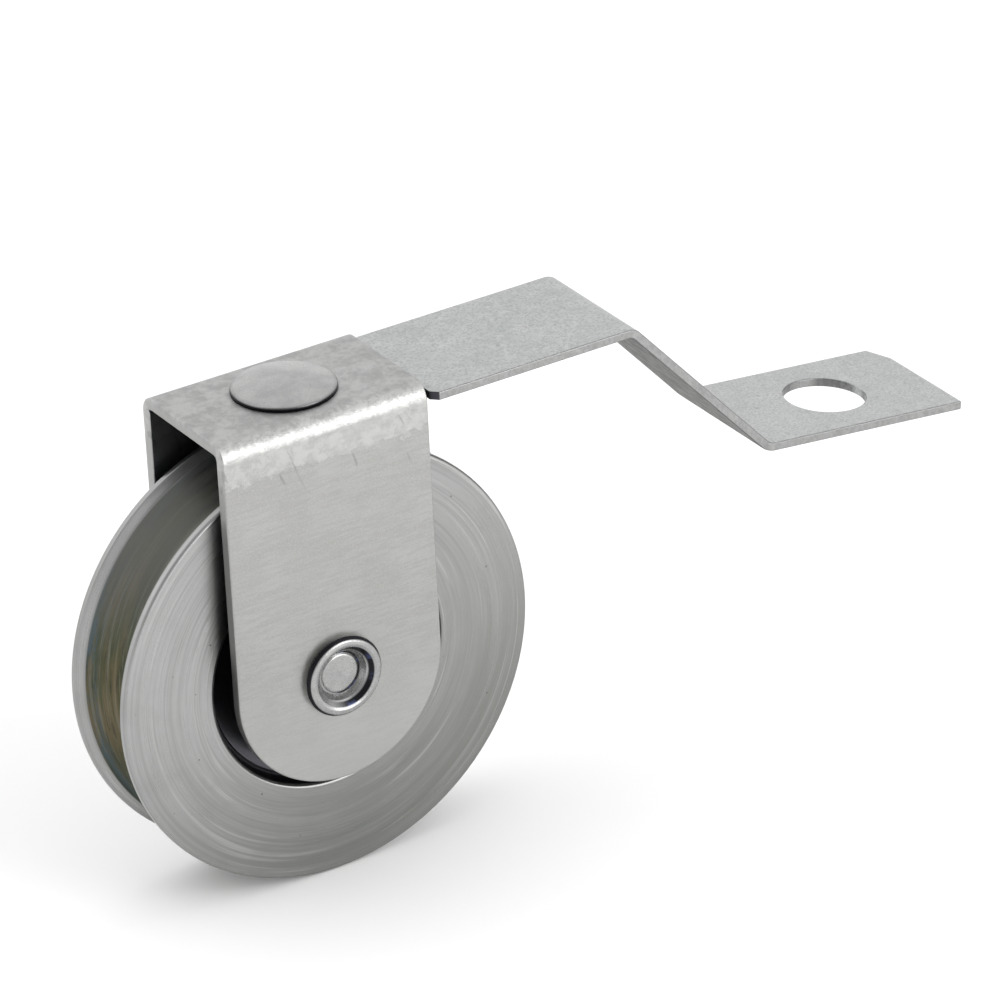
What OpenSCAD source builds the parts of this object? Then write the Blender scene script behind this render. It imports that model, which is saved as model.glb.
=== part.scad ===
// Gate wheel: a grooved steel wheel on a ball bearing, held in a U-shaped yoke
// that is riveted over the end of a mounting strap with two bends.
// Origin: centre of the axle at the wheel's mid-plane. +X runs along the strap
// towards its mounting hole, +Y along the axle, +Z up.

/* [Wheel] */
// Outside diameter of the wheel's flanges
wheel_d = 76.2; // [74:0.1:78]
// Width of the wheel across its two faces
wheel_w = 17.5; // [16.5:0.1:18.5]
// Radius of the rounded outer corner of each flange
flange_round = 1.2; // [0.8:0.1:1.5]
// Width of the groove where its straight walls begin
groove_w = 13.3; // [11:0.1:13.5]
// Depth of the bevel from the flange's tip to the groove's straight wall
groove_bevel = 1.5; // [0.8:0.1:2]
// Slope of each groove wall, measured from the wheel's axle
groove_slope = 45; // [40:1:50]
// Radius at the bottom of the groove
groove_root_r = 2.5; // [1.5:0.1:3.5]
// Diameter of the recess in each face of the wheel
recess_d = 42.8; // [40:0.1:46]
// Thickness of the wheel's web, between the two recesses
web_w = 11.2; // [10.4:0.1:12]

/* [Bearing] */
// Bore of the bearing's inner race
bearing_bore = 9.525; // [9:0.005:9.8]
// Outside diameter of the bearing
bearing_od = 22.225; // [22:0.005:22.6]
// Width of the bearing
bearing_w = 7.144; // [6.9:0.002:7.4]
// Diameter of one ball
ball_d = 3.969; // [3.8:0.001:4.05]
// Number of balls
ball_count = 7; // [6, 7]

/* [Yoke] */
// Outside width of the yoke, along the axle
yoke_w = 25.4; // [25:0.1:27]
// Thickness of the yoke's sheet
yoke_t = 2.1; // [1.8:0.1:2.3]
// Width of each leg, across the strap's direction
leg_w = 38.1; // [36:0.1:40]
// Height of the yoke's top above the axle's centre
yoke_h = 46.5; // [46:0.1:50]
// Inside radius of the yoke's two bends
yoke_bend_r = 0.9; // [0.6:0.1:1.4]

/* [Strap] */
// Width of the strap
strap_w = 25.4; // [24:0.1:27]
// Thickness of the strap
strap_t = 1.5; // [1.2:0.1:1.8]
// Width of the tongue that lies inside the yoke
tongue_w = 19.2; // [18.6:0.1:19.3]
// Distance from the yoke's end to the strap's full-width shoulder
shoulder_gap = 1.0; // [0.5:0.1:2]
// Distance from the axle to the strap's first bend
first_bend_x = 58.9; // [50:0.1:70]
// Downward slope of the strap between its two bends
web_slope = 48.5; // [40:0.5:55]
// Length of the sloping part, between the two bend corners
sloping_len = 38.8; // [30:0.1:50]
// Downward slope of the end plate
plate_slope = 6; // [0:0.5:10]
// Length of the end plate, from the second bend's corner
plate_len = 39.0; // [36:0.1:50]
// Distance from the second bend's corner to the mounting hole
hole_x = 19.6; // [18:0.1:22]
// Diameter of the mounting hole
hole_d = 14.0; // [10:0.1:16]
// Inside radius of the strap's first bend
strap_bend_r = 1.6; // [1:0.1:3]
// Inside radius of the strap's second bend, at the end plate
plate_bend_r = 2.6; // [1:0.1:4]

/* [Rivets] */
// Diameter of the axle rivet's head
axle_head_d = 17.0; // [15:0.1:20]
// Height of the axle rivet's head
axle_head_h = 1.9; // [1.5:0.1:2.5]
// Outside diameter of the axle rivet's rolled end
clinch_d = 14.3; // [13.5:0.1:15]
// Height of the rolled end above the leg
clinch_h = 1.7; // [0.9:0.1:2.2]
// Diameter of the hollow in the axle rivet's rolled end
hollow_d = 7.8; // [6:0.1:8]
// Diameter of the top rivet's shank
top_rivet_d = 8.0; // [6:0.1:9]
// Diameter of the top rivet's head
top_head_d = 17.4; // [15:0.1:18]
// Height of the top rivet's head
top_head_h = 2.2; // [1.8:0.1:2.6]
// Diameter of the top rivet's upset end, inside the yoke
top_tail_d = 12.8; // [11:0.1:14]
// Height of the top rivet's upset end
top_tail_h = 2.2; // [1.8:0.1:2.5]

/* [Hidden] */
$fn = 96;

// Clearance between pieces that are pressed or riveted together
seat_gap = 0.01;
// Clearance between the balls and the races' grooves
ball_gap = 0.06;

wheel_r = wheel_d / 2;
yoke_in_w = yoke_w - 2 * yoke_t;
yoke_out_r = yoke_bend_r + yoke_t;
leg_r = leg_w / 2;
strap_top_z = yoke_h - yoke_t;

bore_r = bearing_bore / 2;
race_out_r = bearing_od / 2;
pitch_r = (bore_r + race_out_r) / 2;
ball_r = ball_d / 2;
race_groove_r = ball_r + ball_gap;
inner_land_r = pitch_r - 0.6 * ball_r;
outer_land_r = pitch_r + 0.6 * ball_r;

// The shields sit in a step at each end of the outer race
shield_t = 0.35;
shield_y = bearing_w / 2 - 0.6;
shield_seat_r = outer_land_r + 0.75;
shield_in_r = inner_land_r + 0.25;

// The cage is two pressed halves that meet between the balls
cage_t = 0.4;
cage_half_w = 0.9;
pocket_r = ball_r + 0.1;
cage_rivet_r = 0.45;

// The retaining ring holds the bearing against the hub's shoulder
ring_t = 1.0;
ring_groove_r = race_out_r + 0.8;
ring_in_r = race_out_r - 0.8;
ring_front_y = -(bearing_w / 2 + ring_t + 0.04);
hub_shoulder_r = race_out_r - 1.3;
hub_shoulder_y = bearing_w / 2 + 0.02;

spacer_r = inner_land_r - 0.1;
spacer_collar_r = 8.4;
spacer_collar_t = 1.4;

// ---------------------------------------------------------------- helpers

// Turns a shape drawn round Z so that it lies round the axle (Z becomes +Y)
module on_axle() {
    rotate([-90, 0, 0]) children();
}

// A cylinder round the axle, from y0 to y1
module axle_cylinder(r, y0, y1) {
    on_axle() translate([0, 0, y0]) cylinder(r = r, h = y1 - y0);
}

// Places a copy of its children at every ball, in a ring round Z
module at_balls(turn = 0) {
    for (i = [0 : ball_count - 1])
        rotate(turn + i * 360 / ball_count) translate([pitch_r, 0, 0]) children();
}

// Points along an arc, from angle a0 to angle a1
function arc(centre, r, a0, a1, steps = 12) = [
    for (i = [0 : steps])
        let (a = a0 + (a1 - a0) * i / steps) centre + r * [cos(a), sin(a)]
];

// Half-section of a low domed rivet head that rises from 0, with a round edge
module head_section(r, h, edge_r) {
    dome_h = h - 2 * edge_r;
    flat_r = r - edge_r;
    dome_r = (flat_r * flat_r + dome_h * dome_h) / (2 * dome_h);
    polygon(concat(
        [[0, 0]],
        arc([flat_r, edge_r], edge_r, -90, 75, 8),
        arc([0, h - dome_r], dome_r, acos(flat_r / dome_r), 90, 10)
    ));
}

// ---------------------------------------------------------------- yoke

// Rectangle whose two top corners are round; its bottom edge is open below
module arch_outline(width, top, r, bottom) {
    union() {
        translate([-width / 2, bottom]) square([width, top - r - bottom]);
        translate([-width / 2 + r, bottom]) square([width - 2 * r, top - bottom]);
        for (side = [-1, 1])
            translate([side * (width / 2 - r), top - r]) circle(r);
    }
}

// The bent sheet, seen along the strap
module yoke_channel() {
    rotate([90, 0, 90]) translate([0, 0, -leg_w / 2])
        linear_extrude(leg_w) difference() {
            arch_outline(yoke_w, yoke_h, yoke_out_r, -leg_r);
            arch_outline(yoke_in_w, yoke_h - yoke_t, yoke_bend_r, -leg_r - 1);
        }
}

// The legs' outline, seen along the axle: straight sides and a round foot
module leg_outline() {
    circle(leg_r, $fn = 180);
    translate([-leg_r, 0]) square([leg_w, yoke_h + 1]);
}

module yoke() {
    color("#bdbdbb") difference() {
        intersection() {
            yoke_channel();
            rotate([90, 0, 0]) translate([0, 0, -yoke_w / 2 - 1])
                linear_extrude(yoke_w + 2) leg_outline();
        }
        axle_cylinder(bore_r, -yoke_w, yoke_w);
        translate([0, 0, yoke_h - yoke_t - 1])
            cylinder(d = top_rivet_d, h = yoke_t + 2);
    }
}

// ---------------------------------------------------------------- strap

strap_out_r = strap_bend_r + strap_t;
plate_out_r = plate_bend_r + strap_t;
second_bend = web_slope - plate_slope;
first_setback = strap_out_r * tan(web_slope / 2);
second_setback = plate_bend_r * tan(second_bend / 2);
shoulder_x = leg_r + shoulder_gap;
first_bend_start = first_bend_x - first_setback;
sloping_flat = sloping_len - first_setback - second_setback;
plate_flat = plate_len - second_setback;
// Chamfer on the shoulder's corners and the clipped corner of the plate
shoulder_chamfer = 1.2;
clip_x = 2.0;
clip_y = 4.8;

// Ends of the strap's flat lengths along its top, in the X-Z plane, with z = 0
// at the top of its first length
slope_dir = [cos(web_slope), -sin(web_slope)];
plate_dir = [cos(plate_slope), -sin(plate_slope)];
first_centre = [first_bend_start, -strap_out_r];
slope_start = first_centre + strap_out_r * [sin(web_slope), cos(web_slope)];
slope_end = slope_start + sloping_flat * slope_dir;
second_centre = slope_end + plate_bend_r * [sin(web_slope), cos(web_slope)];
plate_start = second_centre - plate_bend_r * [sin(plate_slope), cos(plate_slope)];

// The bent strip seen along the axle, from its shoulder to its far end
module strap_outline() {
    plate_end = plate_start + plate_flat * plate_dir;
    thickness = strap_t * [-sin(plate_slope), -cos(plate_slope)];
    polygon(concat(
        [[shoulder_x, 0]],
        arc(first_centre, strap_out_r, 90, 90 - web_slope),
        arc(second_centre, plate_bend_r, -90 - web_slope, -90 - plate_slope),
        [plate_end, plate_end + thickness],
        arc(second_centre, plate_out_r, -90 - plate_slope, -90 - web_slope),
        arc(first_centre, strap_bend_r, 90 - web_slope, 90),
        [[shoulder_x, -strap_t]]
    ));
}

// The narrow tongue under the yoke's top, which runs a little into the strip
module strap_tongue() {
    translate([0, 0, -strap_t]) linear_extrude(strap_t) {
        circle(d = tongue_w);
        translate([0, -tongue_w / 2]) square([shoulder_x + 2, tongue_w]);
    }
}

module offset_strap() {
    half = strap_w / 2;
    color("#b4b6b5") translate([0, 0, strap_top_z]) difference() {
        union() {
            strap_tongue();
            translate([0, half, 0]) rotate([90, 0, 0])
                linear_extrude(strap_w) strap_outline();
        }
        translate([0, 0, -strap_t - 1]) cylinder(d = top_rivet_d, h = strap_t + 2);
        for (side = [-1, 1])
            translate([shoulder_x, side * half, -strap_t - 1]) rotate(45)
                cube([2 * shoulder_chamfer * sin(45), 2 * shoulder_chamfer * sin(45),
                      2 * strap_t + 4], center = true);
        translate([plate_start.x, 0, plate_start.y]) rotate([0, plate_slope, 0]) {
            translate([hole_x - second_setback, 0, -strap_t - 1])
                cylinder(d = hole_d, h = strap_t + 2);
            translate([plate_flat, half, -strap_t - 1]) linear_extrude(strap_t + 2)
                polygon([[-1.5 * clip_x, clip_y / 2], [clip_x / 2, clip_y / 2],
                         [clip_x / 2, -1.5 * clip_y]]);
        }
    }
}

// ---------------------------------------------------------------- rivets

// Holds the strap under the yoke's top: low head above, upset end below
module top_rivet() {
    grip = yoke_t + strap_t;
    color("#c2c2c0") translate([0, 0, yoke_h]) union() {
        rotate_extrude() head_section(top_head_d / 2, top_head_h, 0.45);
        translate([0, 0, -grip - 1])
            cylinder(r = top_rivet_d / 2 - seat_gap, h = grip + 2);
        translate([0, 0, -grip]) rotate([180, 0, 0]) rotate_extrude()
            head_section(top_tail_d / 2, top_tail_h, 0.7);
    }
}

// Half-section of the rolled end, from the leg's face at 0: a round bead
// whose outer side rests on the leg
module clinch_section() {
    bead_r = (clinch_d - hollow_d) / 4;
    bead_at = hollow_d / 2 + bead_r;
    foot = asin((bead_r - clinch_h) / bead_r);
    polygon(concat(
        [[0, -0.5], [bore_r - seat_gap, -0.5], [bore_r - seat_gap, 0]],
        arc([bead_at, clinch_h - bead_r], bead_r, foot, 170),
        [[0, clinch_h - bead_r]]
    ));
}

// The axle: a semi-tubular rivet with its head on the back leg
module axle_rivet() {
    hollow_depth = 2.0;
    cone_depth = 0.2;
    leg_face = yoke_w / 2;
    rim_y = -leg_face - clinch_h;
    color("#b2b3b3") on_axle() difference() {
        union() {
            translate([0, 0, -leg_face - 0.5])
                cylinder(r = bore_r - seat_gap, h = yoke_w + 1);
            translate([0, 0, leg_face]) rotate_extrude()
                head_section(axle_head_d / 2, axle_head_h, 0.5);
            translate([0, 0, -leg_face]) rotate([180, 0, 0])
                rotate_extrude() clinch_section();
        }
        translate([0, 0, rim_y]) rotate_extrude() polygon([
            [0, -1], [hollow_d / 2, -1],
            [hollow_d / 2, hollow_depth], [0, hollow_depth + cone_depth],
        ]);
    }
}

// ---------------------------------------------------------------- bearing

// Fills the gap between the inner race and one leg, with a collar at the leg
module spacer(side) {
    spacer_len = (yoke_in_w - bearing_w) / 2;
    hole_r = bore_r + seat_gap;
    color("#9fa09f") on_axle() rotate([side < 0 ? 180 : 0, 0, 0])
        translate([0, 0, bearing_w / 2]) rotate_extrude() {
            translate([hole_r, 0]) square([spacer_r - hole_r, spacer_len]);
            translate([hole_r, spacer_len - spacer_collar_t])
                square([spacer_collar_r - hole_r, spacer_collar_t]);
        }
}

module spacer_front() { spacer(-1); }

module spacer_back() { spacer(1); }

module inner_race() {
    color("#a9abac") on_axle() rotate_extrude() difference() {
        translate([bore_r, -bearing_w / 2])
            square([inner_land_r - bore_r, bearing_w]);
        translate([pitch_r, 0]) circle(race_groove_r);
    }
}

module outer_race() {
    step = bearing_w / 2 - shield_y;
    color("#a9abac") on_axle() rotate_extrude() difference() {
        translate([outer_land_r, -bearing_w / 2])
            square([race_out_r - outer_land_r, bearing_w]);
        translate([pitch_r, 0]) circle(race_groove_r);
        for (side = [-1, 1])
            translate([0, side > 0 ? shield_y : -bearing_w / 2 - 1])
                square([shield_seat_r, step + 1]);
    }
}

module balls() {
    color("#d5d7d9") on_axle() at_balls() sphere(ball_r);
}

// One half of the cage: a thin ring pressed out round each ball
module cage_half(side) {
    cage_in_r = pitch_r - cage_half_w;
    color("#b59f6a") on_axle() rotate([side < 0 ? 180 : 0, 0, 0]) difference() {
        intersection() {
            union() {
                rotate_extrude() translate([cage_in_r, 0])
                    square([2 * cage_half_w, cage_t]);
                at_balls() sphere(pocket_r + cage_t);
            }
            rotate_extrude() translate([cage_in_r, 0])
                square([2 * cage_half_w, ball_r + 1]);
        }
        at_balls() sphere(pocket_r);
        at_balls(180 / ball_count)
            translate([0, 0, -1]) cylinder(r = cage_rivet_r, h = cage_t + 2, $fn = 24);
    }
}

module cage_front() { cage_half(-1); }

module cage_back() { cage_half(1); }

// The small rivets that join the cage's halves, one between each two balls
module cage_rivets() {
    head_r = 0.7;
    head_t = 0.25;
    color("#a8925c") on_axle() at_balls(180 / ball_count) {
        translate([0, 0, -cage_t - head_t])
            cylinder(r = cage_rivet_r - seat_gap, h = 2 * (cage_t + head_t), $fn = 24);
        for (z = [-cage_t - head_t, cage_t])
            translate([0, 0, z]) cylinder(r = head_r, h = head_t, $fn = 24);
    }
}

module shield(side) {
    color("#c7c8c6") on_axle() rotate([side < 0 ? 180 : 0, 0, 0])
        translate([0, 0, shield_y]) rotate_extrude() translate([shield_in_r, 0])
            square([shield_seat_r - seat_gap - shield_in_r, shield_t]);
}

module shield_front() { shield(-1); }

module shield_back() { shield(1); }

// An open spring ring with two holed ears for the pliers
module retaining_ring() {
    gap_angle = 26;
    ear_r = 1.35;
    ear_turn = gap_angle / 2 + 7;
    ear_at = ring_in_r - 0.2;
    color("#77797b") translate([0, ring_front_y, 0]) on_axle() linear_extrude(ring_t)
        difference() {
            union() {
                difference() {
                    circle(ring_groove_r - 0.05);
                    circle(ring_in_r);
                    polygon([
                        [0, 0],
                        2 * race_out_r * [sin(gap_angle / 2), cos(gap_angle / 2)],
                        2 * race_out_r * [-sin(gap_angle / 2), cos(gap_angle / 2)],
                    ]);
                }
                for (side = [-1, 1])
                    rotate(side * ear_turn) translate([0, ear_at]) circle(ear_r, $fn = 32);
            }
            for (side = [-1, 1])
                rotate(side * ear_turn) translate([0, ear_at]) circle(0.55, $fn = 24);
        }
}

// ---------------------------------------------------------------- wheel

// Half-section of the flanges, the rim and the web, before the bore is cut
module wheel_blank_section() {
    half = wheel_w / 2;
    web = web_w / 2;
    recess_r = recess_d / 2;
    chamfer = 0.5;
    tip_y = half - flange_round;
    corner_r = wheel_r - flange_round;
    union() {
        polygon([
            [hub_shoulder_r, -web], [recess_r - 0.6, -web], [recess_r, -half + chamfer],
            [recess_r + chamfer, -half], [corner_r, -half], [wheel_r, -tip_y],
            [wheel_r, tip_y], [corner_r, half], [recess_r + chamfer, half],
            [recess_r, half - chamfer], [recess_r - 0.6, web], [hub_shoulder_r, web],
        ]);
        for (side = [-1, 1])
            translate([corner_r, side * tip_y]) circle(flange_round);
    }
}

// Section of the groove: a short bevel, a straight wall and a round bottom
module groove_section() {
    wall_top_r = wheel_r - groove_bevel;
    wall_top_y = groove_w / 2;
    mouth_y = wheel_w / 2 - flange_round - 0.2;
    root_y = groove_root_r * sin(90 - groove_slope);
    root_wall_r = wall_top_r - (wall_top_y - root_y) * tan(groove_slope);
    root_centre_r = root_wall_r + groove_root_r * cos(90 - groove_slope);
    polygon([
        [wheel_r + 1, -mouth_y - 0.5], [wheel_r, -mouth_y], [wall_top_r, -wall_top_y],
        [root_wall_r, -root_y], [root_wall_r, root_y],
        [wall_top_r, wall_top_y], [wheel_r, mouth_y], [wheel_r + 1, mouth_y + 0.5],
    ]);
    translate([root_centre_r, 0]) circle(groove_root_r);
}

module wheel() {
    color("#aeb0ae") on_axle() rotate_extrude($fn = 180) difference() {
        wheel_blank_section();
        groove_section();
        translate([0, -web_w]) square([race_out_r + seat_gap, web_w + hub_shoulder_y]);
        translate([0, ring_front_y - 0.02]) square([ring_groove_r, ring_t + 0.04]);
    }
}

// ---------------------------------------------------------------- output

yoke();
offset_strap();
top_rivet();
axle_rivet();
spacer_front();
spacer_back();
inner_race();
outer_race();
balls();
cage_front();
cage_back();
cage_rivets();
shield_front();
shield_back();
retaining_ring();
wheel();
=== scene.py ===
"""Gate wheel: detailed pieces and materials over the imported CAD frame."""
import math

import bmesh
import bpy
from mathutils import Matrix, Vector


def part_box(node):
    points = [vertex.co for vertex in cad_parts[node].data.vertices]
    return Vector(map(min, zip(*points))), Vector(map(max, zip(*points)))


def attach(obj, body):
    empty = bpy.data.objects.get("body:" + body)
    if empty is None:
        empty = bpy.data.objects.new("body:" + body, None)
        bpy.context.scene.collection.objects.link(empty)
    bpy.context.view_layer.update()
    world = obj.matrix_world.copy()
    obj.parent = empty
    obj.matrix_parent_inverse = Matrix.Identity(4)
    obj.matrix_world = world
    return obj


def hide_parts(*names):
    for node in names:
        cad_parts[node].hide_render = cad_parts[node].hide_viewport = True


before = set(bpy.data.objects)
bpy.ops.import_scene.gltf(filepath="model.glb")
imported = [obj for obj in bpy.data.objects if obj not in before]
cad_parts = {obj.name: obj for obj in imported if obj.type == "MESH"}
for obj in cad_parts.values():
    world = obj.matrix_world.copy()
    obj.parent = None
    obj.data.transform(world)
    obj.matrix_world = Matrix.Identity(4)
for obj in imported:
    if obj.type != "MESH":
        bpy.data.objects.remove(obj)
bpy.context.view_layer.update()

MM = 0.001

# ------------------------------------------------------------ sizes, in metres

YOKE_LO, YOKE_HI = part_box("yoke")
STRAP_LO, STRAP_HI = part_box("offset_strap")
WHEEL_LO, WHEEL_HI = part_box("wheel")
AXLE_LO, AXLE_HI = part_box("axle_rivet")
TOP_RIVET_LO, TOP_RIVET_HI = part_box("top_rivet")
OUTER_RACE_LO, OUTER_RACE_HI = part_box("outer_race")
RING_LO, RING_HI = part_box("retaining_ring")

LEG_R = YOKE_HI.x
YOKE_HALF_W = YOKE_HI.y
YOKE_TOP = YOKE_HI.z
YOKE_T = YOKE_TOP - STRAP_HI.z
YOKE_BEND_R = 0.9 * MM
YOKE_BEND_Z = YOKE_TOP - YOKE_T - YOKE_BEND_R

STRAP_HALF_W = STRAP_HI.y
STRAP_T = 1.5 * MM
STRAP_TOP = STRAP_HI.z
STRAP_BEND_R = 1.6 * MM
PLATE_BEND_R = 2.6 * MM
TONGUE_R = -STRAP_LO.x
SHOULDER_X = LEG_R + 1.0 * MM
SHOULDER_CHAMFER = 1.2 * MM
WEB_SLOPE = math.radians(48.5)
PLATE_SLOPE = math.radians(6)
FIRST_CORNER_X = 58.9 * MM
SLOPING_LEN = 38.8 * MM
PLATE_LEN = 39.0 * MM
HOLE_X = 19.6 * MM
HOLE_R = 7.0 * MM
CLIP = (2.0 * MM, 4.8 * MM)

WHEEL_R = WHEEL_HI.x
WHEEL_HALF_W = WHEEL_HI.y
RECESS_R = 21.4 * MM
WEB_HALF = 5.6 * MM
GROOVE_WALL_R = WHEEL_R - 1.5 * MM
GROOVE_WALL_Y = 6.65 * MM
GROOVE_ROOT_R = 2.5 * MM

AXLE_R = 4.75 * MM
CLINCH_R = 7.15 * MM
HOLLOW_DEPTH = 2.0 * MM
TOP_HOLE_R = 4.0 * MM
TOP_TAIL_R = 6.4 * MM
FIT_GAP = 0.01 * MM

# Rounds on the sheared edges of the yoke and the strap
YOKE_EDGE = 0.28 * MM
STRAP_EDGE = 0.22 * MM

# Meshes turn a shading edge above the first angle; sheet parts are rounded above the second
SHARP_ANGLE = math.radians(35)
SHEARED_ANGLE = math.radians(32)


# ------------------------------------------------------------ mesh helpers

def rounded(corners, steps=8):
    """A closed outline through (x, y, radius) corners, each rounded by its radius."""
    points = []
    count = len(corners)
    for i, (x, y, radius) in enumerate(corners):
        corner = Vector((x, y))
        before = Vector(corners[i - 1][:2]) - corner
        after = Vector(corners[(i + 1) % count][:2]) - corner
        half = before.angle(after) / 2
        if radius <= 0 or half > math.radians(89.5):
            points.append(corner)
            continue
        setback = min(radius / math.tan(half), before.length * 0.49, after.length * 0.49)
        radius = setback * math.tan(half)
        middle = (before.normalized() + after.normalized()).normalized()
        centre = corner + middle * (radius / math.sin(half))
        start = corner + before.normalized() * setback - centre
        end = corner + after.normalized() * setback - centre
        turn = start.angle_signed(end)
        for k in range(steps + 1):
            points.append(centre + Matrix.Rotation(-turn * k / steps, 2) @ start)
    return points


def arc(centre, radius, first, last, steps=14):
    """Points on a circle from angle first to angle last, in radians."""
    angles = [first + (last - first) * k / steps for k in range(steps + 1)]
    return [Vector(centre) + radius * Vector((math.cos(a), math.sin(a))) for a in angles]


def new_object(name, bm):
    """Makes a shown object from bm, smooth except at edges sharper than SHARP_ANGLE."""
    bmesh.ops.remove_doubles(bm, verts=bm.verts, dist=1e-7)
    bmesh.ops.recalc_face_normals(bm, faces=bm.faces)
    mesh = bpy.data.meshes.new(name)
    bm.to_mesh(mesh)
    bm.free()
    mesh.shade_smooth()
    mesh.set_sharp_from_angle(angle=SHARP_ANGLE)
    obj = bpy.data.objects.new(name, mesh)
    bpy.context.scene.collection.objects.link(obj)
    return obj


def lathe(name, outline, to_world, segments=256, closed=False):
    """Turns an outline of (radius, height) points round an axis; to_world places them."""
    bm = bmesh.new()
    rings = []
    for radius, height in outline:
        if radius < 1e-7:
            rings.append([bm.verts.new(to_world(0, height, 0))] * segments)
            continue
        rings.append([
            bm.verts.new(to_world(radius, height, 2 * math.pi * k / segments))
            for k in range(segments)
        ])
    pairs = list(zip(rings, rings[1:] + rings[:1])) if closed else list(zip(rings, rings[1:]))
    for low, high in pairs:
        for k in range(segments):
            n = (k + 1) % segments
            corners = [low[k], low[n], high[n], high[k]]
            face = [v for i, v in enumerate(corners) if v not in corners[:i]]
            if len(face) > 2:
                bm.faces.new(face)
    return new_object(name, bm)


def round_y(radius, height, angle):
    """Place of a lathed point round the axle."""
    return Vector((radius * math.cos(angle), height, radius * math.sin(angle)))


def round_z(radius, height, angle):
    """Place of a lathed point round the vertical."""
    return Vector((radius * math.cos(angle), radius * math.sin(angle), height))


def prism(name, outline, to_world, low, high):
    """A solid of constant outline between two depths."""
    bm = bmesh.new()
    ends = [[bm.verts.new(to_world(p[0], p[1], depth)) for p in outline] for depth in (low, high)]
    bm.faces.new(ends[0])
    bm.faces.new(ends[1])
    count = len(outline)
    for k in range(count):
        n = (k + 1) % count
        bm.faces.new([ends[0][k], ends[0][n], ends[1][n], ends[1][k]])
    return new_object(name, bm)


def apply_modifiers(obj):
    """Bakes obj's modifiers into its mesh."""
    graph = bpy.context.evaluated_depsgraph_get()
    mesh = bpy.data.meshes.new_from_object(obj.evaluated_get(graph))
    obj.modifiers.clear()
    old = obj.data
    obj.data = mesh
    bpy.data.meshes.remove(old)


def combine(obj, other, operation):
    """Applies a boolean with other, which is then removed."""
    modifier = obj.modifiers.new("cut", "BOOLEAN")
    modifier.object = other
    modifier.operation = operation
    modifier.solver = "EXACT"
    apply_modifiers(obj)
    bpy.data.objects.remove(other)


def round_edges(obj, width):
    """Rounds the sheared edges of a sheet part."""
    bm = bmesh.new()
    bm.from_mesh(obj.data)
    bmesh.ops.dissolve_limit(
        bm, angle_limit=math.radians(0.6), verts=bm.verts, edges=bm.edges,
        delimit={"NORMAL"},
    )
    bm.to_mesh(obj.data)
    bm.free()
    modifier = obj.modifiers.new("edges", "BEVEL")
    modifier.width = width
    modifier.segments = 3
    modifier.limit_method = "ANGLE"
    modifier.angle_limit = SHEARED_ANGLE
    modifier.harden_normals = True
    modifier.miter_outer = "MITER_ARC"
    obj.data.shade_smooth()
    apply_modifiers(obj)


def xz(x, z, y):
    """Place of an outline point seen along the axle, at depth y."""
    return Vector((x, y, z))


def yz(y, z, x):
    """Place of an outline point seen along the strap, at depth x."""
    return Vector((x, y, z))


def xy(x, y, z):
    """Place of an outline point seen from above, at height z."""
    return Vector((x, y, z))


# ------------------------------------------------------------ pieces

def make_yoke():
    """The sheet bent into a U, with round feet and the holes for both rivets."""
    outer_r = YOKE_BEND_R + YOKE_T
    inner = YOKE_HALF_W - YOKE_T
    foot = -LEG_R - 2 * MM
    channel = rounded([
        (-YOKE_HALF_W, foot, 0), (-YOKE_HALF_W, YOKE_TOP, outer_r),
        (YOKE_HALF_W, YOKE_TOP, outer_r), (YOKE_HALF_W, foot, 0),
        (inner, foot, 0), (inner, YOKE_TOP - YOKE_T, YOKE_BEND_R),
        (-inner, YOKE_TOP - YOKE_T, YOKE_BEND_R), (-inner, foot, 0),
    ], steps=14)
    yoke = prism("yoke_sheet", channel, yz, -LEG_R, LEG_R)
    leg = arc((0, 0), LEG_R, -math.pi, 0, 96)
    leg = [Vector((-LEG_R, YOKE_TOP + 5 * MM))] + leg + [Vector((LEG_R, YOKE_TOP + 5 * MM))]
    combine(yoke, prism("leg", leg, xz, -2 * YOKE_HALF_W, 2 * YOKE_HALF_W), "INTERSECT")
    axle_hole = arc((0, 0), AXLE_R + 2 * FIT_GAP, 0, 2 * math.pi, 64)[:-1]
    combine(yoke, prism("hole", axle_hole, xz, -2 * YOKE_HALF_W, 2 * YOKE_HALF_W), "DIFFERENCE")
    top_hole = arc((0, 0), TOP_HOLE_R, 0, 2 * math.pi, 64)[:-1]
    combine(yoke, prism("hole", top_hole, xy, YOKE_TOP - 4 * MM, YOKE_TOP + MM), "DIFFERENCE")
    round_edges(yoke, YOKE_EDGE)
    return yoke


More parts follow.
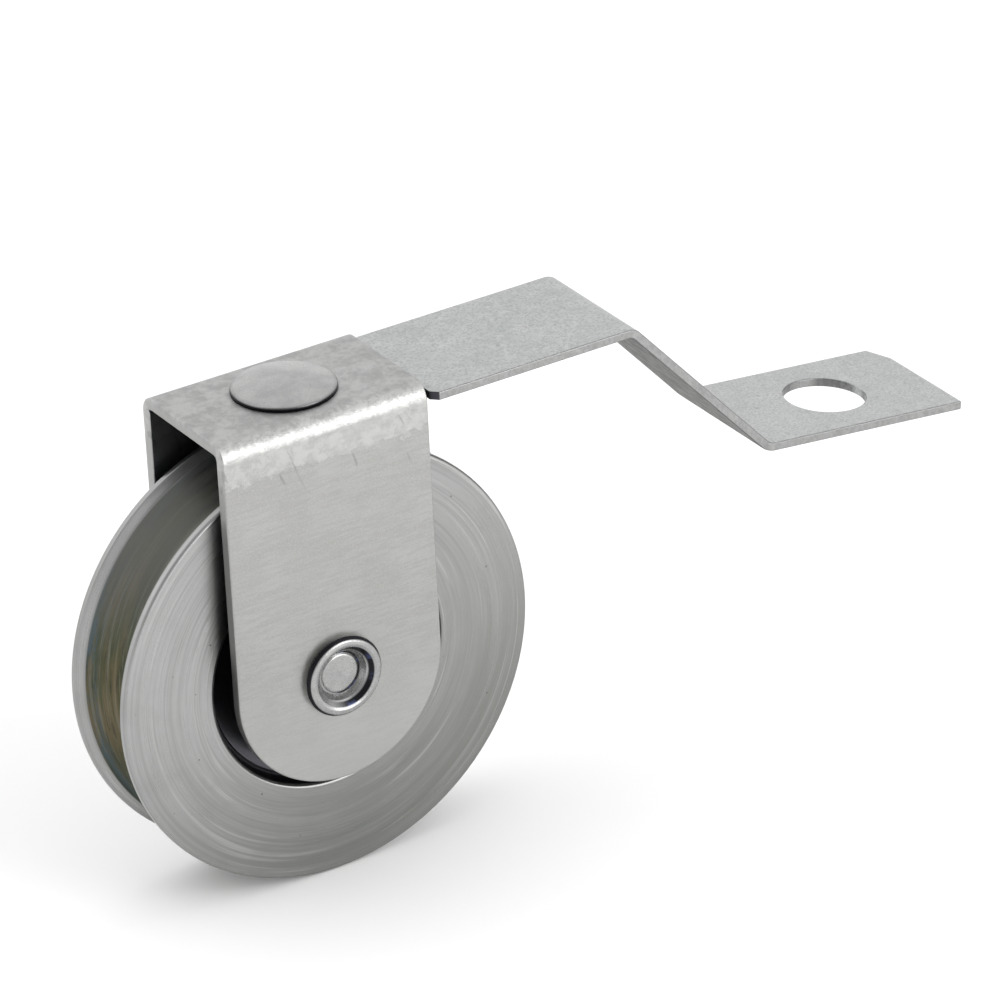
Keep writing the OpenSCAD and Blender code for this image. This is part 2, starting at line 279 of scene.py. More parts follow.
def strap_outline():
    """The strip seen along the axle, and the start and direction of its end plate."""
    outer_r = STRAP_BEND_R + STRAP_T
    plate_outer_r = PLATE_BEND_R + STRAP_T
    down = Vector((math.sin(WEB_SLOPE), math.cos(WEB_SLOPE)))
    flat = Vector((math.sin(PLATE_SLOPE), math.cos(PLATE_SLOPE)))
    first_setback = outer_r * math.tan(WEB_SLOPE / 2)
    second_setback = PLATE_BEND_R * math.tan((WEB_SLOPE - PLATE_SLOPE) / 2)
    first = Vector((FIRST_CORNER_X - first_setback, STRAP_TOP - outer_r))
    slope_len = SLOPING_LEN - first_setback - second_setback
    slope_end = first + outer_r * down
    slope_end += slope_len * Vector((math.cos(WEB_SLOPE), -math.sin(WEB_SLOPE)))
    second = slope_end + PLATE_BEND_R * down
    plate_dir = Vector((math.cos(PLATE_SLOPE), -math.sin(PLATE_SLOPE)))
    plate_start = second - PLATE_BEND_R * flat
    plate_end = plate_start + (PLATE_LEN - second_setback) * plate_dir
    quarter = math.pi / 2
    outline = [Vector((SHOULDER_X, STRAP_TOP))]
    outline += arc(first, outer_r, quarter, quarter - WEB_SLOPE)
    outline += arc(second, PLATE_BEND_R, -quarter - WEB_SLOPE, -quarter - PLATE_SLOPE)
    outline += [plate_end, plate_end - STRAP_T * flat]
    outline += arc(second, plate_outer_r, -quarter - PLATE_SLOPE, -quarter - WEB_SLOPE)
    outline += arc(first, STRAP_BEND_R, quarter - WEB_SLOPE, quarter)
    outline += [Vector((SHOULDER_X, STRAP_TOP - STRAP_T))]
    return outline, plate_start, plate_dir, second_setback


def make_strap():
    """The strip with its tongue, bends, mounting hole and clipped corner."""
    outline, plate_start, plate_dir, setback = strap_outline()
    strap = prism("strap_sheet", outline, xz, -STRAP_HALF_W, STRAP_HALF_W)
    tongue = arc((0, 0), TONGUE_R, math.pi / 2, 3 * math.pi / 2, 40)
    tongue += [Vector((SHOULDER_X + 4 * MM, -TONGUE_R)), Vector((SHOULDER_X + 4 * MM, TONGUE_R))]
    combine(strap, prism("tongue", tongue, xy, STRAP_TOP - STRAP_T, STRAP_TOP), "UNION")
    for side in (-1, 1):
        x, y = SHOULDER_X, side * STRAP_HALF_W
        c = SHOULDER_CHAMFER
        corner = [Vector((x - c, y)), Vector((x, y - side * c)),
                  Vector((x + c, y)), Vector((x, y + side * c))]
        combine(strap, prism("corner", corner, xy, STRAP_TOP - 3 * MM, STRAP_TOP + MM), "DIFFERENCE")

    def on_plate(along, across, up):
        point = plate_start + along * plate_dir + up * Vector((-plate_dir.y, plate_dir.x))
        return Vector((point.x, across, point.y))

    hole = arc((HOLE_X - setback, 0), HOLE_R, 0, 2 * math.pi, 96)[:-1]
    combine(strap, prism("hole", hole, on_plate, -3 * MM, 2 * MM), "DIFFERENCE")
    end = PLATE_LEN - setback
    along, across = CLIP
    clip = [Vector((end - 1.5 * along, STRAP_HALF_W + across / 2)),
            Vector((end + along / 2, STRAP_HALF_W + across / 2)),
            Vector((end + along / 2, STRAP_HALF_W - 1.5 * across))]
    combine(strap, prism("clip", clip, on_plate, -3 * MM, 2 * MM), "DIFFERENCE")
    round_edges(strap, STRAP_EDGE)
    return strap


def make_wheel():
    """The turned wheel, with its recesses, rounded flanges and groove."""
    bore = OUTER_RACE_HI.x + 0.005 * MM
    shoulder_r = bore - 1.3 * MM
    shoulder_y = OUTER_RACE_HI.y + 0.02 * MM
    ring_r = RING_HI.x
    root = GROOVE_WALL_R - GROOVE_WALL_Y
    half = [
        (GROOVE_WALL_R, GROOVE_WALL_Y, 0.35 * MM),
        (WHEEL_R, WHEEL_HALF_W - 1.4 * MM, 0.25 * MM),
        (WHEEL_R, WHEEL_HALF_W, 1.15 * MM),
        (RECESS_R, WHEEL_HALF_W, 0.7 * MM),
        (RECESS_R - 0.6 * MM, WEB_HALF, 0.9 * MM),
    ]
    front = [(r, -y, e) for r, y, e in reversed(half)]
    outline = [(bore, -WEB_HALF, 0.25 * MM)] + front + [(root, 0, GROOVE_ROOT_R)] + half + [
        (shoulder_r, WEB_HALF, 0.25 * MM), (shoulder_r, shoulder_y, 0),
        (bore, shoulder_y, 0), (bore, RING_HI.y, 0), (ring_r, RING_HI.y, 0),
        (ring_r, RING_LO.y, 0), (bore, RING_LO.y, 0),
    ]
    return lathe("wheel_body", rounded(outline), round_y, segments=360, closed=True)


def head_outline(radius, height, edge, direction, base):
    """Half-section of a low domed head with a round edge, from its foot to its top."""
    dome = height - 2 * edge
    flat = radius - edge
    dome_r = (flat * flat + dome * dome) / (2 * dome)
    points = arc((flat, edge), edge, -math.pi / 2, math.radians(72), 12)
    start = math.acos(flat / dome_r)
    points += arc((0, height - dome_r), dome_r, start, math.pi / 2, 24)
    return [(max(p[0], 0), base + direction * p[1]) for p in points]


def make_top_rivet():
    """The rivet on the yoke: low head, shank and upset end."""
    head_r = TOP_RIVET_HI.x
    grip_low = STRAP_TOP - STRAP_T
    head = head_outline(head_r, TOP_RIVET_HI.z - YOKE_TOP, 0.45 * MM, 1, YOKE_TOP)
    tail = head_outline(TOP_TAIL_R, grip_low - TOP_RIVET_LO.z, 0.7 * MM, -1, grip_low)
    shank_r = TOP_HOLE_R - FIT_GAP
    shank = [(shank_r, grip_low), (shank_r, YOKE_TOP)]
    return lathe("top_rivet_body", tail[::-1] + shank + head, round_z, segments=160)


def make_axle_rivet():
    """The hollow-ended axle: head at the back, rolled end at the front."""
    head = head_outline(AXLE_HI.x, AXLE_HI.y - YOKE_HALF_W, 0.5 * MM, 1, YOKE_HALF_W)
    face = -YOKE_HALF_W
    lip = -AXLE_LO.y - YOKE_HALF_W
    floor = lip - HOLLOW_DEPTH
    shank_r = AXLE_R - FIT_GAP
    leg_gap = 0.04 * MM
    section = rounded([
        (0, floor - 0.12 * MM, 0), (3.2 * MM, floor, 0.5 * MM),
        (3.5 * MM, floor - 0.3 * MM, 0.12 * MM), (3.8 * MM, floor - 0.25 * MM, 0.12 * MM),
        (4.4 * MM, lip - 1.1 * MM, 0.6 * MM), (5.3 * MM, lip - 0.2 * MM, 0.4 * MM),
        (5.8 * MM, lip, 0.4 * MM), (6.45 * MM, lip - 0.08 * MM, 0.5 * MM),
        (CLINCH_R, lip - 0.8 * MM, 0.35 * MM),
        (CLINCH_R - 0.75 * MM, leg_gap, 0), (shank_r, leg_gap, 0),
    ])
    roll = [(p[0], face - p[1]) for p in section]
    outline = roll + [(shank_r, face), (shank_r, YOKE_HALF_W)] + head
    return lathe("axle_rivet_body", outline, round_y, segments=160)


# ------------------------------------------------------------ materials, in millimetres

class Nodes:
    """A short way to write a material's node graph."""

    def __init__(self, name):
        self.material = bpy.data.materials.new(name)
        self.material.use_nodes = True
        self.tree = self.material.node_tree
        self.shader = self.tree.nodes["Principled BSDF"]
        self.place = self.add("ShaderNodeTexCoord").outputs["Object"]

    def add(self, kind, **settings):
        node = self.tree.nodes.new(kind)
        for key, value in settings.items():
            setattr(node, key, value)
        return node

    def put(self, value, socket):
        """Links a socket, or sets a constant."""
        if isinstance(value, bpy.types.NodeSocket):
            self.tree.links.new(value, socket)
        else:
            socket.default_value = value

    def math(self, operation, a, b=0.0, clamp=False):
        node = self.add("ShaderNodeMath", operation=operation, use_clamp=clamp)
        self.put(a, node.inputs[0])
        self.put(b, node.inputs[1])
        return node.outputs[0]

    def scaled(self, scale):
        """Object coordinates in millimetres, stretched by scale on each axis."""
        node = self.add("ShaderNodeMapping", vector_type="POINT")
        self.put(self.place, node.inputs["Vector"])
        node.inputs["Scale"].default_value = [1000 * s for s in scale]
        return node.outputs["Vector"]

    def noise(self, scale, detail=4.0, roughness=0.55, vector=None):
        node = self.add("ShaderNodeTexNoise")
        self.put(self.scaled((1, 1, 1)) if vector is None else vector, node.inputs["Vector"])
        node.inputs["Scale"].default_value = scale
        node.inputs["Detail"].default_value = detail
        node.inputs["Roughness"].default_value = roughness
        return node.outputs["Fac"]

    def ramp(self, value, low, high, low_out=0.0, high_out=1.0):
        node = self.add("ShaderNodeMapRange", clamp=True, interpolation_type="SMOOTHSTEP")
        self.put(value, node.inputs["Value"])
        node.inputs["From Min"].default_value = low
        node.inputs["From Max"].default_value = high
        node.inputs["To Min"].default_value = low_out
        node.inputs["To Max"].default_value = high_out
        return node.outputs["Result"]

    def mix(self, factor, a, b):
        node = self.add("ShaderNodeMix", data_type="RGBA")
        self.put(factor, node.inputs["Factor"])
        self.put(a if isinstance(a, bpy.types.NodeSocket) else (*a, 1), node.inputs["A"])
        self.put(b if isinstance(b, bpy.types.NodeSocket) else (*b, 1), node.inputs["B"])
        return node.outputs["Result"]

    def axes(self):
        node = self.add("ShaderNodeSeparateXYZ")
        self.put(self.scaled((1, 1, 1)), node.inputs[0])
        return node.outputs["X"], node.outputs["Y"], node.outputs["Z"]

    def slanted(self, lean, scale):
        """Like scaled, with the X axis leant over by lean radians in the X-Z plane."""
        node = self.add("ShaderNodeMapping", vector_type="POINT")
        self.put(self.place, node.inputs["Vector"])
        node.inputs["Rotation"].default_value = (0, lean, 0)
        stretch = self.add("ShaderNodeMapping", vector_type="POINT")
        self.put(node.outputs["Vector"], stretch.inputs["Vector"])
        stretch.inputs["Scale"].default_value = [1000 * s for s in scale]
        return stretch.outputs["Vector"]

    def length(self, a, b):
        """Distance from an axis, from the two coordinates across it."""
        squares = self.math("ADD", self.math("MULTIPLY", a, a), self.math("MULTIPLY", b, b))
        return self.math("SQRT", squares)

    def ring(self, radius, low, high, soft):
        """1 between two radii, falling to 0 over soft millimetres on both sides."""
        return self.math("MULTIPLY", self.ramp(radius, low - soft, low),
                         self.ramp(radius, high + soft, high))

    def bump(self, *layers):
        """Stacks (height, strength, distance in mm) layers into one normal."""
        normal = None
        for height, strength, distance in layers:
            node = self.add("ShaderNodeBump")
            node.inputs["Strength"].default_value = strength
            node.inputs["Distance"].default_value = distance * MM
            self.put(height, node.inputs["Height"])
            if normal is not None:
                self.put(normal, node.inputs["Normal"])
            normal = node.outputs["Normal"]
        self.put(normal, self.shader.inputs["Normal"])

    def finish(self, colour, roughness, metallic=1.0):
        self.put(colour if isinstance(colour, bpy.types.NodeSocket) else (*colour, 1),
                 self.shader.inputs["Base Color"])
        self.put(roughness, self.shader.inputs["Roughness"])
        self.put(metallic, self.shader.inputs["Metallic"])
        return self.material


def zinc_sheet():
    """Bright zinc on rolled sheet: fine grain, a pressed band below the bends, painted highlight on the
    bends, painted light low on the legs, and painted shade inside the U and round the rivets.
    """
    n = Nodes("zinc_sheet")
    x, y, z = n.axes()
    grain = n.noise(1.5, 4, 0.65, n.scaled((0.16, 1.5, 1.5)))
    fine = n.noise(3.4, 3, 0.6)
    cloud = n.noise(0.12, 3, 0.5)
    colour = n.mix(n.ramp(cloud, 0.3, 0.7), (0.325, 0.323, 0.314), (0.355, 0.355, 0.350))
    top = YOKE_TOP / MM
    bend_start = YOKE_BEND_Z / MM
    side = n.math("ABSOLUTE", y)
    half_w = YOKE_HALF_W / MM
    on_top = n.ramp(z, top - 1.4, top - 0.2)
    streaks = n.math("MULTIPLY", n.ramp(grain, 0.40, 0.64, 0.0, 0.7),
                     n.ramp(on_top, 0, 1, 1.0, 0.15))
    colour = n.mix(streaks, colour, (0.305, 0.303, 0.293))
    colour = n.mix(n.ramp(fine, 0.46, 0.70, 0.0, 0.55), colour, (0.414, 0.414, 0.405))
    # Painted light: the legs are painted lighter towards their feet
    painted_foot_light = n.ramp(z, 8, -16, 0.0, 0.35)
    colour = n.mix(painted_foot_light, colour, (0.450, 0.450, 0.440))
    mottle = n.noise(0.40, 5, 0.7)
    top_tone = n.mix(n.ramp(mottle, 0.36, 0.64), (0.310, 0.310, 0.310), (0.458, 0.458, 0.455))
    colour = n.mix(n.math("MULTIPLY", on_top, 0.65), colour, top_tone)
    crown = n.math("MULTIPLY", n.ramp(side, half_w - 2.4, half_w - 1.6),
                   n.ramp(z, bend_start - 0.2, bend_start + 0.6))
    # Painted highlight: the bends are painted lighter, widening the lamp's highlight on them
    colour = n.mix(n.math("MULTIPLY", crown, 0.35), colour, (0.60, 0.60, 0.59))
    worn = n.math("MULTIPLY", crown, n.ramp(n.noise(0.75, 5, 0.75), 0.42, 0.60))
    colour = n.mix(n.math("MULTIPLY", worn, 0.45), colour, (0.22, 0.22, 0.215))
    ragged = n.math("MULTIPLY", n.noise(0.35, 4, 0.7), 5.0)
    band = n.math("MULTIPLY", n.ramp(n.math("SUBTRACT", z, ragged), bend_start - 7.3, bend_start - 6.6),
                  n.ramp(z, bend_start + 0.7, bend_start - 0.3))
    blotch = n.ramp(n.noise(0.45, 4, 0.7), 0.40, 0.60, 0.25, 0.8)
    pressed = n.math("MULTIPLY", band, blotch)
    colour = n.mix(n.math("MULTIPLY", pressed, 0.75), colour, (0.482, 0.482, 0.473))
    scratch = n.ramp(n.noise(0.55, 1, 0.3, n.slanted(0.35, (1.5, 1.0, 0.26))), 0.655, 0.71)
    scratched = n.math("MULTIPLY", n.ramp(z, bend_start - 10.5, bend_start - 7.5),
                       n.ramp(z, bend_start, bend_start - 1.5))
    scratch = n.math("MULTIPLY", scratch, scratched)
    colour = n.mix(n.math("MULTIPLY", scratch, 0.45), colour, (0.182, 0.182, 0.182))
    inner_face = half_w - YOKE_T / MM
    ceiling = top - YOKE_T / MM
    # Painted shade: the inner faces of the U are painted nearly black
    under = n.math("MULTIPLY", n.ramp(side, inner_face + 0.06, inner_face - 0.04),
                   n.ramp(z, ceiling + 0.15, ceiling + 0.02))
    colour = n.mix(under, colour, (0.050, 0.055, 0.070))
    head_r = TOP_RIVET_HI.x / MM
    clinch_r = CLINCH_R / MM
    # Painted shade: dark rings on the sheet under the edge of the top rivet's head and under the axle's
    # rolled end
    head_shade = n.ring(n.length(x, y), head_r - 0.6, head_r - 0.1, 0.25)
    clinch_shade = n.ring(n.length(x, z), clinch_r - 1.1, clinch_r - 0.7, 0.2)
    rivet_shade = n.math("ADD", n.math("MULTIPLY", head_shade, n.ramp(z, top - 2.0, top - 0.5)),
                  n.math("MULTIPLY", clinch_shade, n.ramp(y, 0.7 - half_w, 0.2 - half_w)), clamp=True)
    colour = n.mix(n.math("MULTIPLY", rivet_shade, 0.85), colour, (0.03, 0.03, 0.04))
    roughness = n.math("ADD", n.ramp(fine, 0.3, 0.7, 0.30, 0.44), n.math("MULTIPLY", on_top, 0.16))
    n.bump((grain, 0.12, 0.05), (fine, 0.14, 0.03), (scratch, -0.5, 0.03), (worn, 0.3, 0.08),
           (n.math("MULTIPLY", band, mottle), 0.35, 0.15))
    return n.finish(colour, roughness)


def zinc_strap():
    """Zinc on plain strip: mottled and scuffed, duller underneath and on its sheared edges; painted
    shade darkens faces turned downwards, the rounded edges and the part inside the yoke.
    """
    n = Nodes("zinc_strap")
    x, y, z = n.axes()
    cloud = n.noise(0.09, 3, 0.55)
    mottle = n.noise(0.42, 5, 0.7)
    fine = n.noise(2.6, 3, 0.65)
    spots = n.ramp(n.noise(0.8, 2, 0.5), 0.68, 0.74)
    colour = n.mix(n.ramp(cloud, 0.3, 0.7), (0.363, 0.379, 0.376), (0.416, 0.420, 0.423))
    colour = n.mix(n.ramp(mottle, 0.36, 0.66, 0.0, 0.80), colour, (0.495, 0.498, 0.494))
    colour = n.mix(n.ramp(fine, 0.44, 0.64, 0.0, 0.65), colour, (0.271, 0.276, 0.279))
    colour = n.mix(n.math("MULTIPLY", spots, 0.45), colour, (0.230, 0.239, 0.239))
    scuff = n.ramp(n.noise(0.45, 2, 0.5, n.scaled((0.45, 1.5, 0.6))), 0.70, 0.76)
    colour = n.mix(n.math("MULTIPLY", scuff, 0.35), colour, (0.552, 0.552, 0.552))
    normal = n.add("ShaderNodeSeparateXYZ")
    n.put(n.add("ShaderNodeNewGeometry").outputs["Normal"], normal.inputs[0])
    underneath = n.ramp(normal.outputs["Z"], -0.15, -0.5)
    # Painted shade: faces turned downwards are painted darker
    colour = n.mix(n.math("MULTIPLY", underneath, 0.85), colour,
                   n.mix(n.ramp(mottle, 0.38, 0.62), (0.10, 0.10, 0.095), (0.221, 0.221, 0.216)))
    torn = n.noise(0.8, 4, 0.75, n.scaled((1.2, 1.0, 0.7)))
    turning = n.math("ABSOLUTE", normal.outputs["Y"])
    sheared = n.ramp(turning, 0.55, 0.85)
    edge_tone = n.mix(n.ramp(torn, 0.35, 0.65), (0.221, 0.221, 0.216), (0.304, 0.304, 0.299))
    colour = n.mix(n.math("MULTIPLY", sheared, 0.8), colour, edge_tone)
    # Painted shade: the rounded edges along the sheared edges are painted darker, damping their
    # highlights
    border = n.math("MULTIPLY", n.ramp(turning, 0.05, 0.3), n.ramp(turning, 0.99, 0.9))
    colour = n.mix(n.math("MULTIPLY", border, n.ramp(torn, 0.3, 0.6, 0.3, 0.8)), colour,
                   (0.12, 0.12, 0.12))
    shoulder_x = SHOULDER_X / MM
    chamfer_end = shoulder_x + SHOULDER_CHAMFER / MM
    # Painted shade: the tongue inside the yoke and the end faces at the shoulders are painted nearly
    # black
    at_shoulder = n.ramp(x, chamfer_end + 0.2, chamfer_end)
    end_faces = n.math("MULTIPLY", at_shoulder, n.ramp(normal.outputs["X"], -0.25, -0.5))
    in_yoke_shade = n.math("ADD", n.ramp(x, shoulder_x + 0.1, shoulder_x - 0.1), end_faces, clamp=True)
    colour = n.mix(n.math("MULTIPLY", in_yoke_shade, 0.9), colour, (0.04, 0.04, 0.05))
    roughness = n.math("ADD", n.ramp(mottle, 0.3, 0.7, 0.32, 0.50),
                       n.math("MULTIPLY", underneath, 0.5), clamp=True)
    n.bump((mottle, 0.15, 0.10), (fine, 0.15, 0.03), (spots, -0.2, 0.03), (scuff, -0.2, 0.02))
    return n.finish(colour, roughness, n.ramp(underneath, 0, 1, 1.0, 0.15))


def turned_steel():
    """Turned steel: broken rings round the axle and dark oil-stained metal in the groove, with painted
    light and shade: a tone lighter towards the upper left, lighter arcs, a groove lighter at the top
    and darker at the bottom, and near-black recesses.
    """
    n = Nodes("turned_steel")
    x, y, z = n.axes()
    radius = n.length(x, z)
    across = n.math("DIVIDE", x, radius)
    upward = n.math("DIVIDE", z, radius)
    depth = n.math("ABSOLUTE", y)

    def rings_place(around):
        """Radius and width in mm, with a slow change round the axle."""
        node = n.add("ShaderNodeCombineXYZ")
        n.put(n.math("ADD", radius, n.math("MULTIPLY", y, 0.9)), node.inputs["X"])
        n.put(n.math("MULTIPLY", across, around), node.inputs["Y"])
        n.put(n.math("MULTIPLY", upward, around), node.inputs["Z"])
        return node.outputs[0]

    face_y = WHEEL_HALF_W / MM
    wall_y = GROOVE_WALL_Y / MM
    root_r = (GROOVE_WALL_R - GROOVE_WALL_Y) / MM
    recess_r = RECESS_R / MM
    broad = n.noise(0.50, 3, 0.6, rings_place(1.6))
    rings = n.noise(1.9, 4, 0.7, rings_place(0.35))
    fine = n.noise(7.0, 2, 0.5, rings_place(0.3))
    cloud = n.noise(0.11, 4, 0.6)
    arcs = n.ramp(n.noise(1.25, 2, 0.5, rings_place(0.7)), 0.58, 0.72)
    # Painted shading: the face is painted lighter towards the upper left and darker towards the lower
    # right
    painted_shading = n.math("ADD", n.math("MULTIPLY", x, -0.7), z)
    colour = n.mix(n.ramp(painted_shading, -42, 24), (0.222, 0.225, 0.213), (0.336, 0.338, 0.336))
    colour = n.mix(n.ramp(broad, 0.35, 0.65, 0.0, 0.40), colour, (0.328, 0.328, 0.323))
    colour = n.mix(n.ramp(rings, 0.44, 0.62, 0.0, 0.42), colour, (0.209, 0.214, 0.205))
    # Painted highlight: broken arcs of the turning are painted lighter
    colour = n.mix(n.math("MULTIPLY", arcs, 0.5), colour, (0.419, 0.419, 0.410))
    colour = n.mix(n.ramp(cloud, 0.45, 0.75, 0.0, 0.3), colour, (0.228, 0.232, 0.223))
    specks = n.ramp(n.noise(0.9, 1, 0.4), 0.775, 0.80)
    colour = n.mix(n.math("MULTIPLY", specks, 0.7), colour, (0.06, 0.06, 0.05))

    in_groove = n.math("MULTIPLY", n.ramp(depth, wall_y + 0.05, wall_y - 0.2),
                       n.ramp(radius, root_r - 4.95, root_r - 2.95))
    film = n.ramp(n.noise(0.33, 4, 0.65, rings_place(4.0)), 0.35, 0.65)
    groove = n.mix(film, (0.048, 0.060, 0.034), (0.120, 0.100, 0.060))
    streak = n.ramp(n.noise(1.5, 3, 0.6, rings_place(1.0)), 0.48, 0.68)
    groove = n.mix(n.math("MULTIPLY", streak, 0.55), groove, (0.182, 0.182, 0.155))
    blotch = n.noise(0.45, 6, 0.8, rings_place(6.0))
    blue = n.math("MULTIPLY", n.ramp(depth, wall_y - 2.2, wall_y - 0.5),
                  n.ramp(blotch, 0.44, 0.56, 0.1, 1.0))
    groove = n.mix(n.math("MULTIPLY", blue, 0.8), groove, (0.062, 0.096, 0.122))
    stain = n.ramp(n.noise(0.40, 6, 0.8, rings_place(5.0)), 0.50, 0.62)
    groove = n.mix(n.math("MULTIPLY", stain, 0.55), groove, (0.030, 0.034, 0.030))
    # Painted light and shade: the groove is painted lighter towards the top and darker towards the
    # bottom
    groove = n.mix(n.ramp(z, 4, 26, 0.0, 0.75), groove, (0.200, 0.203, 0.190))
    groove = n.mix(n.ramp(z, 2, -24, 0.0, 0.55), groove, (0.026, 0.031, 0.018))
    colour = n.mix(in_groove, colour, groove)
    # Painted shade: the recesses are painted nearly black
    in_recess = n.math("MULTIPLY", n.ramp(depth, face_y - 0.4, face_y - 0.85),
                       n.ramp(radius, recess_r + 1.2, recess_r + 0.5))
    colour = n.mix(in_recess, colour, (0.09, 0.09, 0.10))
    roughness = n.math("ADD", n.ramp(rings, 0.3, 0.7, 0.26, 0.38),
                       n.math("MULTIPLY", in_groove, 0.04))
    n.bump((broad, 0.15, 0.12), (rings, 0.40, 0.06), (fine, 0.20, 0.02))
    tangent = n.add("ShaderNodeTangent", direction_type="RADIAL", axis="Y")
    n.put(tangent.outputs[0], n.shader.inputs["Tangent"])
    n.shader.inputs["Anisotropic"].default_value = 0.55
    return n.finish(colour, roughness)


def rivet_steel():
    """Soft bright rivet steel with small dents; painted shade in its hollow, round the rolled lip's
    outer edge and under the top rivet's head, and a painted light flank under the lip.
    """
    n = Nodes("rivet_steel")
    x, y, z = n.axes()
    cloud = n.noise(0.30, 4, 0.6)
    dents = n.noise(0.8, 2, 0.45)
    fine = n.noise(3.6, 4, 0.6)
    colour = n.mix(n.ramp(cloud, 0.3, 0.7), (0.305, 0.308, 0.305), (0.385, 0.385, 0.380))
    colour = n.mix(n.ramp(fine, 0.45, 0.7, 0.0, 0.4), colour, (0.276, 0.276, 0.276))
    inner_face = (YOKE_HALF_W - YOKE_T) / MM
    at_axle = n.ramp(y, 0.6 - inner_face, -0.4 - inner_face)
    radius = n.length(x, z)
    # Painted shade: dark rings at the floor and at the lip of the hollow end, darker on its right side
    floor_rim = n.ring(radius, 3.55, 3.75, 0.12)
    lip_rim = n.ring(radius, 4.75, 5.25, 0.25)
    wall = n.math("MULTIPLY", at_axle, n.math("ADD", floor_rim, lip_rim))
    wall = n.math("MULTIPLY", wall, n.ramp(x, -3.0, 0.5, 0.2, 1.0))
    clinch_r = CLINCH_R / MM
    widest_y = AXLE_LO.y / MM + 0.9
    # Painted shade: a dark line round the outer edge of the rolled lip, on its upper left side only
    lip_edge = n.math("MULTIPLY", n.ramp(radius, clinch_r - 0.62, clinch_r - 0.48),
                      n.ramp(y, widest_y + 0.1, widest_y - 0.05))
    flank = n.math("MULTIPLY", lip_edge, n.ramp(n.math("SUBTRACT", z, x), -6.0, -3.0))
    # Painted light: the flank under the rolled lip is painted light, so that its reflection on the leg
    # is lighter
    below_lip = n.math("MULTIPLY", n.ramp(radius, clinch_r - 0.8, clinch_r - 0.7),
                       n.ramp(y, widest_y - 0.05, widest_y + 0.1))
    colour = n.mix(n.math("MULTIPLY", below_lip, at_axle), colour, (0.690, 0.690, 0.681))
    top = YOKE_TOP / MM
    # Painted shade: the lower edge of the top rivet's head, next to the sheet, is painted dark
    below_head = n.math("MULTIPLY", n.ramp(z, top + 1.0, top + 0.5), n.ramp(z, top - 2.5, top - 0.5))
    painted_shade = n.math("ADD", n.math("ADD", wall, flank), below_head, clamp=True)
    # The painted shade is near black, with a painted bluish reflection in patches on the hollow's rings
    painted_shade_tone = n.mix(n.math("MULTIPLY", n.ramp(n.noise(0.5, 2, 0.5), 0.52, 0.68), wall),
                 (0.008, 0.008, 0.011), (0.040, 0.050, 0.110))
    colour = n.mix(n.math("MULTIPLY", painted_shade, 0.97), colour, painted_shade_tone)
    roughness = n.ramp(fine, 0.3, 0.7, 0.22, 0.36)
    n.bump((dents, 0.25, 0.15), (fine, 0.10, 0.02))
    return n.finish(colour, roughness)


def plain_steel(name, dark, light, rough):
    """Small machined pieces: fine rings round the axle over a clouded tone."""
    n = Nodes(name)
    x, y, z = n.axes()
    radius = n.length(x, z)
    at = n.add("ShaderNodeCombineXYZ")
    n.put(radius, at.inputs["X"])
    n.put(y, at.inputs["Y"])
    rings = n.noise(5.0, 3, 0.6, at.outputs[0])
    cloud = n.noise(0.5, 3, 0.6)
    colour = n.mix(n.ramp(cloud, 0.3, 0.7), dark, light)
    n.bump((rings, 0.12, 0.02))
    return n.finish(colour, n.ramp(rings, 0.3, 0.7, rough, rough + 0.1))


# ------------------------------------------------------------ assembly

def place(obj, body, node, slot, material):
    """Gives a detailed piece its material and body, and hides the CAD node it stands for."""
    obj.data.materials.clear()
    obj.data.materials.append(material)
    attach(obj, body)
    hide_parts(node)


rivet = rivet_steel()
place(make_yoke(), "bracket", "yoke", "zinc_sheet", zinc_sheet())
place(make_strap(), "bracket", "offset_strap", "zinc_strap", zinc_strap())
place(make_top_rivet(), "bracket", "top_rivet", "rivet_steel", rivet)
place(make_axle_rivet(), "bracket", "axle_rivet", "rivet_steel", rivet)
place(make_wheel(), "wheel", "wheel", "turned_steel", turned_steel())

dark = plain_steel("dark_steel", (0.10, 0.105, 0.11), (0.17, 0.17, 0.175), 0.34)
bearing = plain_steel("bearing_steel", (0.46, 0.47, 0.48), (0.56, 0.56, 0.57), 0.14)
cage = plain_steel("cage_steel", (0.38, 0.34, 0.24), (0.48, 0.43, 0.31), 0.28)
shield = plain_steel("shield_steel", (0.44, 0.44, 0.43), (0.54, 0.54, 0.53), 0.26)
CAD_FINISH = {
    "spacer_front": dark, "spacer_back": dark, "retaining_ring": dark,
    "inner_race": bearing, "outer_race": bearing, "balls": bearing,
    "cage_front": cage, "cage_back": cage, "cage_rivets": cage,
    "shield_front": shield, "shield_back": shield,
}
for node_name, material in CAD_FINISH.items():
    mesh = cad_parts[node_name].data
    mesh.materials.clear()
    mesh.materials.append(material)


# ------------------------------------------------------------ stage, light and camera

def make_floor():
    """A pale floor that the wheel just clears."""
    size = 14.0
    bm = bmesh.new()
    bmesh.ops.create_grid(bm, x_segments=8, y_segments=8, size=size)
    floor = new_object("floor", bm)
    floor.location.z = WHEEL_LO.z - 0.05 * MM
    n = Nodes("floor")
    tone = n.noise(0.002, 2, 0.5)
    n.finish(n.mix(n.ramp(tone, 0.3, 0.7), (0.90, 0.90, 0.90), (0.92, 0.92, 0.92)), 0.7, 0.0)
    floor.data.materials.append(n.material)


def area_light(name, towards, distance, size, power):
    """A soft box in direction towards from the object, facing it."""
    light = bpy.data.lights.new(name, "AREA")
    light.shape = "RECTANGLE"
    light.size, light.size_y = size
    light.energy = power
    obj = bpy.data.objects.new(name, light)
    aim = Vector((0.02, 0, 0.01))
    obj.location = aim + Vector(towards).normalized() * distance
    obj.rotation_mode = "QUATERNION"
    obj.rotation_quaternion = (aim - obj.location).to_track_quat("-Z", "Y")
    bpy.context.scene.collection.objects.link(obj)


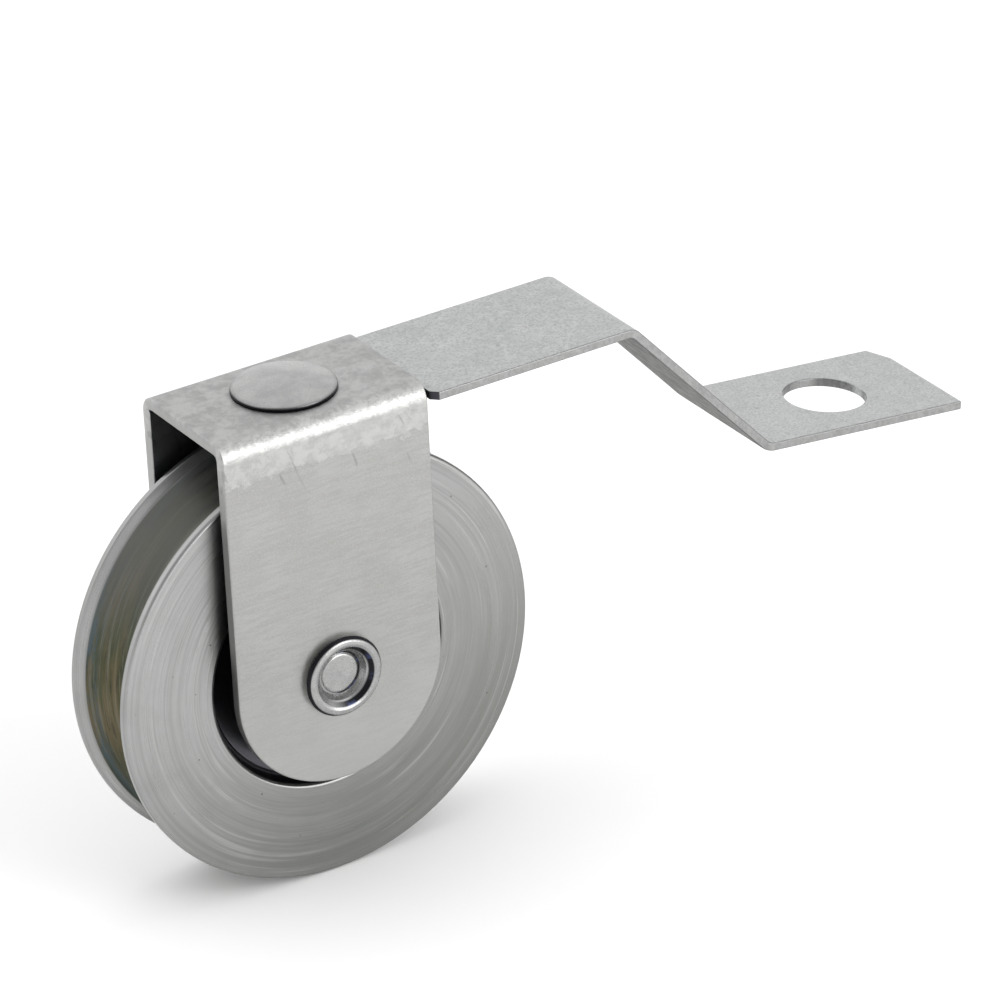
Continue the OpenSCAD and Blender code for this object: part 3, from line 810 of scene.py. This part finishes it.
def make_world():
    """White all round, and dimmer behind and above the camera."""
    world = bpy.data.worlds.new("studio")
    world.use_nodes = True
    tree = world.node_tree
    background = tree.nodes["Background"]
    background.inputs["Color"].default_value = (1, 1, 1, 1)
    place = tree.nodes.new("ShaderNodeTexCoord")
    facing = tree.nodes.new("ShaderNodeVectorMath")
    facing.operation = "DOT_PRODUCT"
    facing.inputs[1].default_value = Vector((-0.5, -0.6, 0.62)).normalized()
    strength = tree.nodes.new("ShaderNodeMapRange")
    strength.interpolation_type = "SMOOTHSTEP"
    strength.inputs["From Min"].default_value = 0.66
    strength.inputs["From Max"].default_value = 0.88
    strength.inputs["To Min"].default_value = 1.25
    strength.inputs["To Max"].default_value = 0.66
    tree.links.new(place.outputs["Generated"], facing.inputs[0])
    tree.links.new(facing.outputs["Value"], strength.inputs["Value"])
    tree.links.new(strength.outputs["Result"], background.inputs["Strength"])
    bpy.context.scene.world = world


def make_light():
    """A soft box at the front right, and a larger, fainter one at the back left."""
    area_light("front_right", (0.42, -0.9, 0.34), 0.9, (0.6, 0.82), 5.0)
    area_light("left", (-0.9, 0.45, 0.8), 1.3, (1.4, 1.4), 2.5)


def make_camera():
    """The camera, from the direction, distance and frame that show the object as photographed."""
    azimuth, elevation, roll = (math.radians(a) for a in (-31.09, 27.48, -2.93))
    distance, across, up_by = 1.1731, 0.03244, 0.02339
    back = Vector((math.sin(azimuth) * math.cos(elevation),
                   -math.cos(azimuth) * math.cos(elevation), math.sin(elevation)))
    level = Vector((math.cos(azimuth), math.sin(azimuth), 0))
    upright = back.cross(level)
    right = level * math.cos(roll) + upright * math.sin(roll)
    up = upright * math.cos(roll) - level * math.sin(roll)
    data = bpy.data.cameras.new("camera")
    data.sensor_width = 36.0
    data.lens = 259.3
    data.clip_start, data.clip_end = 0.05, 60
    camera = bpy.data.objects.new("camera", data)
    turn = Matrix((right, up, back)).transposed().to_4x4()
    camera.matrix_world = Matrix.Translation(back * distance + right * across + up * up_by) @ turn
    bpy.context.scene.collection.objects.link(camera)
    bpy.context.scene.camera = camera


make_floor()
make_world()
make_light()
make_camera()
bpy.context.scene.view_settings.view_transform = "Standard"
